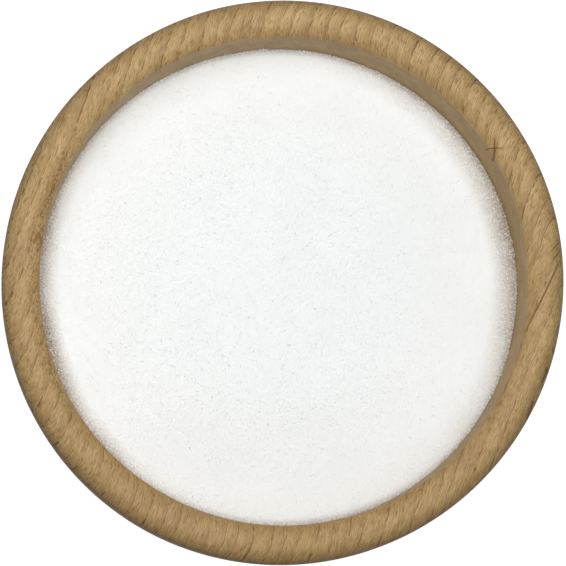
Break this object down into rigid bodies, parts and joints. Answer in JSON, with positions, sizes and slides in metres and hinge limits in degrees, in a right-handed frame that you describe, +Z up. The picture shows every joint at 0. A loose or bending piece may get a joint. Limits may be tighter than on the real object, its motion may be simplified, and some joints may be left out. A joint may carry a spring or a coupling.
{
  "type": "wooden bowl of granulated erythritol",
  "caption": "Round turned beech bowl with a thick rounded rim, filled with fine white granulated sweetener.",
  "frame": {"origin": "middle of the bowl's flat underside", "axes": "+Z up along the bowl's axis; +Y along the run of the wood's fibres, which is up in the picture"},
  "size_m": [0.12, 0.12, 0.044],
  "materials": {
    "beech": "plain turned beech, smooth sanded and lightly oiled, with open pores and flecks",
    "granules": "loose white crystals, matt as a heap, each one clear and glossy"
  },
  "bodies": {
    "root": {"bowl": "beech", "erythritol": "granules"}
  },
  "joints": []
}
